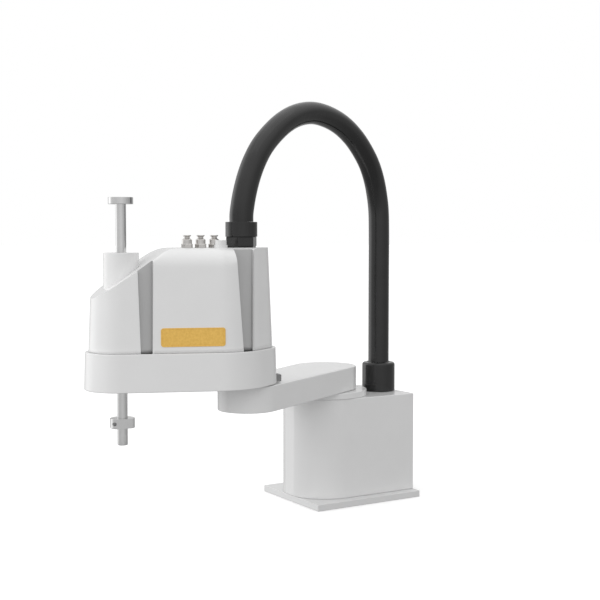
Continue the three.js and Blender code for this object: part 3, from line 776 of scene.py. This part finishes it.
def arm_gland():
    at = in_outer(centre("arm_gland_nut"))
    low, middle, top = level("outer_arm_cover", 1), level("arm_gland_nut", 0), level("arm_gland_nut", 1)
    wide = size("arm_gland_nut").x / 2
    body = rounded(
        [(12, low), (2.2, low), (0, low + 3.2, 0.8), (0, middle - 0.8, 0.5), (1.2, middle), (12, middle)]
    )
    shape = skin(stacked(rounded(hex_corners(at, wide, 1.2), closed=True), body))
    make("gland_hexagon", *shape, OUTER, "outer_arm", "black_gloss", ["arm_gland_body"])
    nut = rounded(
        [(20, middle), (wide, middle, 0.4), (wide, top, 0.9), (CONDUIT + 2.2, top, 1.2),
         (CONDUIT + 1.2, top - 1.4), (20, top - 1.4)],
        arc=9,
    )
    make("gland_nut", *skin(turned(nut, at.xy, 128)), OUTER, "outer_arm", "black_gloss", ["arm_gland_nut"])


# ---- inner arm ----

LID_STEP = 5
LID_BOSSES = (66.7, 56)
LID_SCREWS = {"along": (88, 175, 262), "across": 44}
INNER_OUTLINE = [(0, 70.7), (INNER_LENGTH, 60)]


def lid_plan(grow):
    """The plate between the two bosses, with concave round ends, grown by grow all round."""
    (_, big), (far, small) = INNER_OUTLINE
    touch = math.acos((big - small) / far)
    outline = []
    # At each end the plate's long side meets the boss where the two are the same way out from its centre.
    for x, hull, boss, facing in ((far, small, LID_BOSSES[1], -1), (0, big, LID_BOSSES[0], 1)):
        radius = boss - grow
        apart = math.acos((hull - LID_STEP + grow) / radius)
        edge = touch - facing * apart
        start, end = (edge, -edge) if facing > 0 else (2 * math.pi - edge, edge)
        for k in range(41):
            angle = start + (end - start) * k / 40
            outline.append(Vector((x + radius * math.cos(angle), radius * math.sin(angle))))
    return outline


def inner_arm():
    low, high = level("inner_arm_casting", 0), level("inner_arm_casting", 1)
    plan = wrap(INNER_OUTLINE, 2.5)
    made = make(
        "inner_arm_body", *skin(stacked(plan, block_profile(low, high, 1.6, 2.2, 14))), INNER, "inner_arm",
        "paint", ["inner_arm_casting"],
    )
    carve(made, (*skin([[(p.x, p.y, z) for p in lid_plan(0.4)] for z in (low - 2, low + 3)]), INNER))
    lid = stacked(lid_plan(0), rounded([(3, low + 2.6), (0, low + 2.6), (0, low, 0.4), (3, low)]))
    make("underside_plate", *skin(lid), INNER, "inner_arm", "plate_paint", ["inner_arm_lid"])
    screws = []
    for x in LID_SCREWS["along"]:
        for y in (-LID_SCREWS["across"], LID_SCREWS["across"]):
            rings = socket_screw(3, 1.4, 1.3)
            hung = [[(x + px, y + py, low + 0.3 - pz) for px, py, pz in ring] for ring in rings]
            screws.append(skin(hung))
    make("underside_screws", *gather(*screws), INNER, "inner_arm", "screw_steel")


# ---- outer arm ----

OUTLINE = [(14, 70), (65, 105), (OUTER_LENGTH, 71)]
TRAY = {"draft": 2.2, "wall": 9, "floor": 12}
COVER = {"step": 8.6, "draft": 0.0415}
ROOF = {"start": 528, "radius": 37, "half": 52.8, "taper": math.tan(math.radians(10.6)), "bend": 73}
SLOPE = {"run": 186, "rise": 553.6, "grade": 0.68, "blend": 150, "soft": 5}
GROOVES = (
    ((207, 228.5, 61.5), (203, 233, 53)),  # front: from, to and floor at the cover's foot and at its top
    ((17, 37.5, 77), (12.5, 50, 67)),  # rear
)


def tray():
    low, high = level("outer_arm_casting", 0), level("outer_arm_casting", 1)
    floor_ = low + TRAY["floor"]
    lip = TRAY["draft"] + TRAY["wall"]
    profile = rounded(
        [(24, low), (0, low, 1.6), (TRAY["draft"], high, 1.3), (lip, high, 0.8), (lip, floor_, 2),
         (24, floor_)]
    )
    made = make(
        "outer_arm_tray", *skin(stacked(wrap(OUTLINE, 2.5), profile)), OUTER, "outer_arm", "paint",
        ["outer_arm_casting"],
    )
    carve(made, drill(34, low - 5, floor_ + 5, (0, 0), OUTER), drill(26, low - 5, floor_ + 5, QUILL, OUTER))


def half_outline(shrink):
    """The cover's outline on the +Y side, from the tip of the nose to the tip of the rear."""
    points = wrap([(x, radius - shrink) for x, radius in OUTLINE], 1.5)
    upper = [(p.x, p.y) for p in points if p.y > -1e-6]
    return np.array(sorted(upper, key=lambda p: -p[0]))


def between(outline, start, end, count):
    """count + 1 points spaced evenly along an outline, between two places in x."""
    long = np.concatenate([[0], np.cumsum(np.linalg.norm(np.diff(outline, axis=0), axis=1))])
    where = np.interp([-start, -end], -outline[:, 0], long)
    at = np.linspace(*where, count + 1)
    return np.stack([np.interp(at, long, outline[:, k]) for k in range(2)], axis=1)


def roof_height(x, y):
    """Height of the cover's roof over a point: a barrel roof, cut by the nose slope with a soft crease."""
    top = level("outer_arm_cover", 1)
    half = ROOF["half"] - np.maximum(x - ROOF["bend"], 0) * ROOF["taper"]
    over = np.abs(y) - half
    radius = ROOF["radius"]
    barrel = ROOF["start"] + np.sqrt(radius**2 - np.clip(over, 0, radius) ** 2)
    share = np.linspace(0, 1, 40)
    corner = SLOPE["run"] - (top - SLOPE["rise"]) / SLOPE["grade"]
    bend_x = SLOPE["blend"] * (1 - share) ** 2 + 2 * corner * share * (1 - share) + SLOPE["run"] * share**2
    bend_z = top * (1 - share**2) + SLOPE["rise"] * share**2
    slope = np.where(
        x > SLOPE["run"], SLOPE["rise"] + SLOPE["grade"] * (SLOPE["run"] - x), np.interp(x, bend_x, bend_z)
    )
    soft = 0.05 + SLOPE["soft"] * np.clip((x - SLOPE["blend"]) / 30, 0, 1)
    near = np.clip(0.5 + 0.5 * (barrel - slope) / soft, 0, 1)
    return barrel * (1 - near) + slope * near - soft * near * (1 - near)


class CoverWall:
    """The cover's side wall: stations round one half, each a line that leans in with height."""

    LEVELS = 26

    def __init__(self, counts, wall_shares):
        self.low, self.top = level("outer_arm_cover", 0), level("outer_arm_cover", 1)
        self.heights = np.linspace(self.low, self.top + 4, self.LEVELS)
        rows = [self.row(z, counts, wall_shares) for z in self.heights]
        self.places = np.array([np.concatenate(parts) for parts in rows])
        self.parts = np.cumsum([0] + [len(part) for part in rows[0]])

    def row(self, z, counts, wall_shares):
        outline = half_outline(COVER["step"] + COVER["draft"] * (z - self.low))
        share = (z - self.low) / (self.top - self.low)
        (f0, f1, ff), (r0, r1, rf) = (
            [a + (b - a) * share for a, b in zip(foot, head)] for foot, head in GROOVES
        )
        stretches = [
            between(outline, outline[0, 0], f1, counts[0]),
            between(outline, f0, r1, counts[1]),
            between(outline, r0, outline[-1, 0], counts[2]),
        ]
        walls = []
        for (x, floor_), edge, shares in zip(
            ((f1, ff), (f0, ff), (r1, rf), (r0, rf)),
            (stretches[0][-1], stretches[1][0], stretches[1][-1], stretches[2][0]),
            wall_shares,
        ):
            walls.append(np.stack([np.full(len(shares), x), edge[1] + (floor_ - edge[1]) * shares], axis=1))
        floors = [
            np.stack([np.linspace(f1, f0, counts[3] + 1), np.full(counts[3] + 1, ff)], axis=1),
            np.stack([np.linspace(r1, r0, counts[3] + 1), np.full(counts[3] + 1, rf)], axis=1),
        ]
        return [
            stretches[0], walls[0], floors[0], walls[1][::-1],
            stretches[1], walls[2], floors[1], walls[3][::-1],
            stretches[2],
        ]

    def at(self, z):
        """Each station's place at its own height."""
        where = (z - self.low) / (self.heights[-1] - self.low) * (self.LEVELS - 1)
        below = np.clip(where.astype(int), 0, self.LEVELS - 2)
        share = (where - below)[:, None]
        station = np.arange(self.places.shape[1])
        return self.places[below, station] * (1 - share) + self.places[below + 1, station] * share

    def rim(self):
        """Where each station meets the roof."""
        low = np.full(self.places.shape[1], float(self.low))
        high = np.full(self.places.shape[1], float(self.heights[-1]))
        for _ in range(40):
            middle = (low + high) / 2
            place = self.at(middle)
            under = roof_height(place[:, 0], place[:, 1]) > middle
            low, high = np.where(under, middle, low), np.where(under, high, middle)
        place = self.at(low)
        return np.concatenate([place, low[:, None]], axis=1)


def even_shares(points, count):
    """Shares of a polyline's points at even steps along it."""
    long = np.concatenate([[0], np.cumsum(np.linalg.norm(np.diff(points, axis=0), axis=1))])
    return np.interp(np.linspace(0, long[-1], count + 1), long, np.linspace(0, 1, len(points)))


def roof_rows(x, start, end, count):
    """Points on the roof at one x, from y start to y end, at even steps over the surface."""
    y = np.linspace(start, end, 90)
    line = np.stack([np.full(90, x), y, roof_height(np.full(90, x), y)], axis=1)
    y = start + (end - start) * even_shares(line, count)
    return np.stack([np.full(count + 1, x), y, roof_height(np.full(count + 1, x), y)], axis=1)


def cover_half():
    """Patches, (grid of points, look), of the cover's +Y half."""
    counts, deep, wide, rows = (44, 56, 26, 8), 14, 30, 22
    dense = CoverWall(counts, [np.linspace(0, 1, 60)] * 4)
    rim = dense.rim()
    shares = []
    for part in (1, 3, 5, 7):
        line = rim[dense.parts[part] : dense.parts[part + 1]]
        line = line if part in (1, 5) else line[::-1]
        shares.append(even_shares(line, deep))
    wall = CoverWall(counts, shares)
    rim = wall.rim()
    part = [rim[a:b] for a, b in zip(wall.parts, wall.parts[1:])]
    patches = []
    height = np.linspace(0, 1, rows + 1)
    for k, (a, b) in enumerate(zip(wall.parts, wall.parts[1:])):
        grid = []
        for share in height:
            z = wall.low + (rim[:, 2] - wall.low) * share
            grid.append(np.concatenate([wall.at(z), z[:, None]], axis=1)[a:b])
        # Groove walls and floors take the darker grey, which is painted shade of the recesses.
        patches.append((np.array(grid), "groove" if k in (1, 2, 3, 5, 6, 7) else "paint"))
    ratio = [part[2][0][1] / part[0][-1][1], part[2][-1][1] / part[4][0][1]]
    ratio += [part[6][0][1] / part[4][-1][1], part[6][-1][1] / part[8][0][1]]
    edges = (
        (part[0], np.full(len(part[0]), ratio[0]), None, part[1]),
        (part[4], np.linspace(ratio[1], ratio[2], len(part[4])), part[3][::-1], part[5]),
        (part[8], np.full(len(part[8]), ratio[3]), part[7][::-1], None),
    )
    for line, core, first, last in edges:
        grid = []
        for i, (x, y, _) in enumerate(line):
            outer = roof_rows(x, y, y * core[i], deep)
            outer[0] = line[i]
            if i == 0 and first is not None:
                outer = first
            if i == len(line) - 1 and last is not None:
                outer = last
            inner = roof_rows(outer[-1][0], outer[-1][1], 0, wide)
            inner[0] = outer[-1]
            grid.append(np.concatenate([outer, inner[1:]]))
        patches.append((np.array(grid), "paint"))
    for line in (part[2], part[6]):
        grid = []
        for point in line:
            inner = roof_rows(point[0], point[1], 0, wide)
            inner[0] = point
            grid.append(inner)
        patches.append((np.array(grid), "paint"))
    return patches


def cover():
    verts, faces, looks = [], [], []
    for grid, look in cover_half():
        for side in (1, -1):
            first = len(verts)
            rows, columns = grid.shape[:2]
            verts += [(x, side * y, z) for x, y, z in grid.reshape(-1, 3).tolist()]
            for i in range(rows - 1):
                for j in range(columns - 1):
                    a = first + i * columns + j
                    quad = (a, a + 1, a + columns + 1, a + columns)
                    faces.append(quad if side > 0 else quad[::-1])
                    looks.append(look)
    made = make("outer_arm_hood", verts, faces, OUTER, "outer_arm", "paint", ["outer_arm_cover"], looks)
    shell = made.modifiers.new("shell", "SOLIDIFY")
    shell.thickness = 2.5 * MM
    shell.offset = -1


NAMEPLATE = {"along": 133, "middle": 395.5, "length": 120, "height": 35}


def nameplate():
    """A plain gold bar with a fine border, on the flat stretch of the cover's left side."""
    (start, big), (_, small) = OUTLINE[1:]
    turn = math.acos((big - small) / (OUTER_LENGTH - start))
    normal = Vector((math.cos(turn), math.sin(turn), COVER["draft"])).normalized()
    along = Vector((math.sin(turn), -math.cos(turn), 0))
    middle = NAMEPLATE["middle"]
    wall = big - COVER["step"] - COVER["draft"] * (middle - level("outer_arm_cover", 0))
    way = (NAMEPLATE["along"] - start - wall * normal.x) / along.x
    tilt = Matrix((along, normal.cross(along), normal)).transposed().to_4x4()
    tilt.translation = (Vector((start, 0, middle)) + normal * wall + along * way) * MM
    long, high = NAMEPLATE["length"] / 2, NAMEPLATE["height"] / 2
    border = [(2.2, 0.8, 0.15), (2.6, 0.45), (3.2, 0.45), (3.6, 0.8, 0.15), (4.6, 0.8)]
    profile = rounded([(0.3, -1.5), (0, -1.2), (0, 0.8, 0.3), *border])
    rings = stacked(rectangle(-long, -high, long, high, 5), profile)
    make("nameplate", *skin(rings), OUTER @ tilt, "outer_arm", "gold")


LUG = {"rear": (-67, -10), "front": (-51, 10)}  # corners in plan, just behind the tray


def stop_lug():
    low, high = level("stop_lug", 0), level("stop_lug", 1)
    plan = rectangle(*LUG["rear"], *LUG["front"], 2)
    shape = skin(stacked(plan, block_profile(low, high, 0.8, 1.2, 4)))
    make("stop_block", *shape, OUTER, "outer_arm", "panel_grey", ["stop_lug"])


def sleeve():
    low, high = level("quill_sleeve", 0), level("quill_sleeve", 1)
    radius = size("quill_sleeve").x / 2
    lip, seat, bore = radius - 3.2, high - 3.5, 11
    profile = rounded(
        [(radius - 6, low), (radius, low), (radius, high, 0.9), (lip, high, 0.6), (lip, seat, 1),
         (bore, seat, 0.8), (bore, low + 20), (radius - 6, low + 20)]
    )
    make("quill_turret", *ring_body(profile, QUILL, 144), OUTER, "outer_arm", "paint", ["quill_sleeve"])


def air_fittings():
    """Nickel fittings on the roof: hexagon, round shoulder, waist and flared mouth."""
    base = level("outer_arm_cover", 1)
    for i in range(1, 4):
        node = f"air_fitting_{i}"
        at = in_outer(centre(node))
        top = level(node, 1)
        profile = rounded(
            [(4, base), (0.4, base), (0, base + 0.6), (0, base + 6.4), (0.9, base + 7.4), (4, base + 7.4)]
        )
        hexed = skin(stacked(rounded(hex_corners(at, 11.5, 0.6), closed=True), profile))
        body = rounded(
            [(3, base + 7), (9.5, base + 7), (9.5, base + 15, 0.8), (5.2, base + 18.4, 0.8),
             (5.2, base + 19.6, 0.6), (7.7, top - 1.2, 0.5), (7.7, top, 0.4), (3.2, top, 0.4), (3, top - 10),
             (0.2, top - 10)]
        )
        shapes = [hexed, skin(turned(body, at.xy, 64))]
        make(f"air_port_{i}", *gather(*shapes), OUTER, "outer_arm", "nickel", [node])


def release_button():
    at = in_outer(centre("brake_release_button"))
    base = level("outer_arm_cover", 1)
    top, radius = level("brake_release_button", 1), size("brake_release_button").x / 2
    wide, rise = size("button_bezel").x / 2, level("button_bezel", 1)
    low = base - 1.5
    ring = rounded([(radius + 0.4, low), (wide, low), (wide, rise, 0.8), (radius + 0.4, rise)])
    make("bezel_ring", *ring_body(ring, at.xy, 64), OUTER, "outer_arm", "button_plastic", ["button_bezel"])
    cap = rounded(
        [(2, base + 3.2), (radius, base + 3.2), (radius, top, 1.1), (radius - 2.6, top),
         (radius - 3.4, top - 0.3), (1, top - 0.3)]
    )
    shape = skin(turned(cap, at.xy, 64))
    make("button_cap", *shape, OUTER, "brake_button", "button_plastic", ["brake_release_button"])


# ---- quill ----


SHAFT = {"radius": 10, "bore": 5.5}
COLLAR_RADIUS = {"upper_collar": 23.5, "lower_collar": 23.7}


def quill():
    low, high = level("quill_shaft", 0), level("quill_shaft", 1)
    radius, bore = SHAFT["radius"], SHAFT["bore"]
    loop = rounded(
        [(bore + 0.8, low), (radius - 0.8, low), (radius, low + 0.8), (radius, high - 0.8),
         (radius - 0.8, high), (bore + 0.8, high), (bore, high - 0.8), (bore, low + 0.8)],
        closed=True,
    )
    # More rings up the side, close together round the flat.
    side = [Vector((radius, z)) for z in (low + 6, low + 8, low + 20, low + 22, high - 6)]
    loop = [*loop[:3], *side, *loop[3:]]
    shaft = make("spline_shaft", *ring_body(loop, QUILL, 96), OUTER, "quill", "steel", ["quill_shaft"])
    flat = (QUILL[0] - 12, radius - 1.4, low + 7, QUILL[0] + 12, radius + 3, low + 21)
    carve(shaft, box_cutter(*flat, OUTER))
    collar("upper_collar", "top_collar", 0.7)
    lower = collar("lower_collar", "clamp_collar", 0.9)
    low, high = level("lower_collar", 0), level("lower_collar", 1)
    middle = (low + high) / 2
    place = Matrix.Translation(((QUILL[0] + 18) * MM, 0, middle * MM))
    across = OUTER @ place @ Matrix.Rotation(-math.pi / 2, 4, "X")
    carve(
        lower,
        box_cutter(QUILL[0] + 5, -0.9, low - 1, QUILL[0] + 30, 0.9, high + 1, OUTER),
        box_cutter(QUILL[0] - 30, 17, low - 1, QUILL[0] + 30, 30, high + 1, OUTER),
        drill(3.4, 8, 30, (0, 0), across, 40),
    )
    soften(lower, 0.35)
    head = [[(x, y, 9.4 + z) for x, y, z in ring] for ring in socket_screw(3.1, 3.2, 1.5)]
    make("clamp_screw", *skin(head), across, "quill", "screw_steel", ["lower_collar_screw"])


def collar(node, name, edge):
    low, high = level(node, 0), level(node, 1)
    radius = COLLAR_RADIUS[node]
    loop = rounded(
        [(10.3, low, 0.4), (radius, low, edge), (radius, high, edge), (10.3, high, 0.4)], closed=True, arc=15
    )
    return make(name, *ring_body(loop, QUILL, 96), OUTER, "quill", "steel", [node])


# ---- the whole ----

FINISH = materials()


def paint_frame():
    """Gives each CAD node that stays its slot's finish."""
    slots = {part["node"]: part["material_slot"] for part in frame["record"]["subparts"]}
    for node, made in frame["nodes"].items():
        made.data.materials.clear()
        made.data.materials.append(FINISH[slots[node]])


camera()
studio()
lights()
floor()
paint_frame()
conduit("conduit_arch", 0, SPLIT)
conduit("conduit_drop", SPLIT, len(ROUTE) - 1)
base_plate()
base_column()
shoulder_flange()
rear_panel()
panel_screws()
connector("power_connector", 4)
connector("signal_connector", 8)
for number in (1, 2, 3):
    air_inlet(f"air_inlet_{number}")
base_gland()
arm_gland()
inner_arm()
tray()
cover()
nameplate()
stop_lug()
sleeve()
air_fittings()
release_button()
quill()
